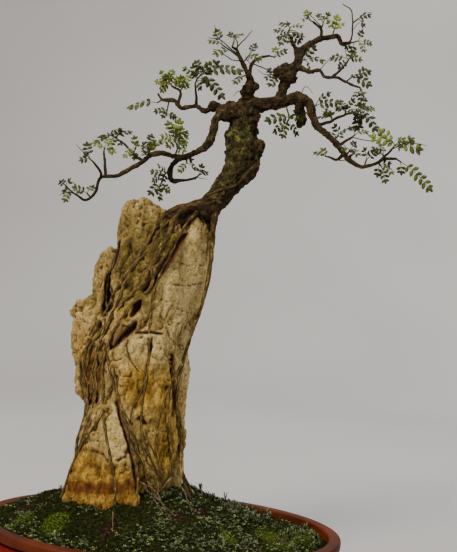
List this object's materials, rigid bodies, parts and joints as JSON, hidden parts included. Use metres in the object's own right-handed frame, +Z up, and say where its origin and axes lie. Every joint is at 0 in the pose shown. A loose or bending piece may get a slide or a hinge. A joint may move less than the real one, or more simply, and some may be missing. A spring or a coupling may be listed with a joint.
{
  "type": "root over rock bonsai",
  "caption": "Leaning, feathery-leaved bonsai whose roots run down a tall craggy stone into a mossy mound in an oval clay tray with a flat lip.",
  "frame": {"origin": "on the bench, under the middle of the whole tree's bounding box, which lies 36.5 mm to the right of the pot's centre", "axes": "+X to the right along the pot's long side, +Y away from the front, +Z up"},
  "size_m": [0.553, 0.335, 0.8139],
  "materials": {
    "fired_clay": "unglazed red-brown stoneware, worn to a dull gloss",
    "screen_plastic": "matt black mesh",
    "weathered_stone": "rough tan stone, stained ochre and olive",
    "bark": "dark furrowed bark with moss",
    "potting_soil": "damp granular soil",
    "moss": "dark green moss with small weeds",
    "leaf": "matt olive green leaflets"
  },
  "bodies": {
    "root": {"drain_screen_left": "screen_plastic", "drain_screen_right": "screen_plastic", "moss": "moss", "pot": "fired_clay", "rock": "weathered_stone", "soil": "potting_soil", "spray_centre_bare": "leaf", "spray_centre_end": "leaf", "spray_centre_left": "leaf", "spray_centre_low": "leaf", "spray_centre_top": "leaf", "spray_cluster_end": "leaf", "spray_cluster_low": "leaf", "spray_cluster_mid": "leaf", "spray_crown_dark": "leaf", "spray_drop_leaf": "leaf", "spray_drop_tip": "leaf", "spray_drop_top": "leaf", "spray_elbow": "leaf", "spray_far_leaf": "leaf", "spray_far_twig": "leaf", "spray_fork_leaf": "leaf", "spray_high_fan": "leaf", "spray_high_hang": "leaf", "spray_high_long": "leaf", "spray_high_mid": "leaf", "spray_high_out": "leaf", "spray_left_back": "leaf", "spray_left_crown": "leaf", "spray_left_fan": "leaf", "spray_left_fork": "leaf", "spray_left_mid": "leaf", "spray_left_rise": "leaf", "spray_left_tip": "leaf", "spray_left_twig": "leaf", "spray_limb_back": "leaf", "spray_limb_long": "leaf", "spray_limb_mid": "leaf", "spray_limb_thin": "leaf", "spray_low_hang": "leaf", "spray_low_inner": "leaf", "spray_low_outer": "leaf", "spray_shoulder": "leaf", "spray_side_large": "leaf", "spray_side_tip": "leaf", "spray_under_limb": "leaf", "spray_upper_bright": "leaf", "spray_upper_fan": "leaf", "spray_upper_fork": "leaf", "spray_upper_right": "leaf", "spray_upper_tip": "leaf", "spray_upper_twig": "leaf", "tree": "bark"}
  },
  "joints": []
}
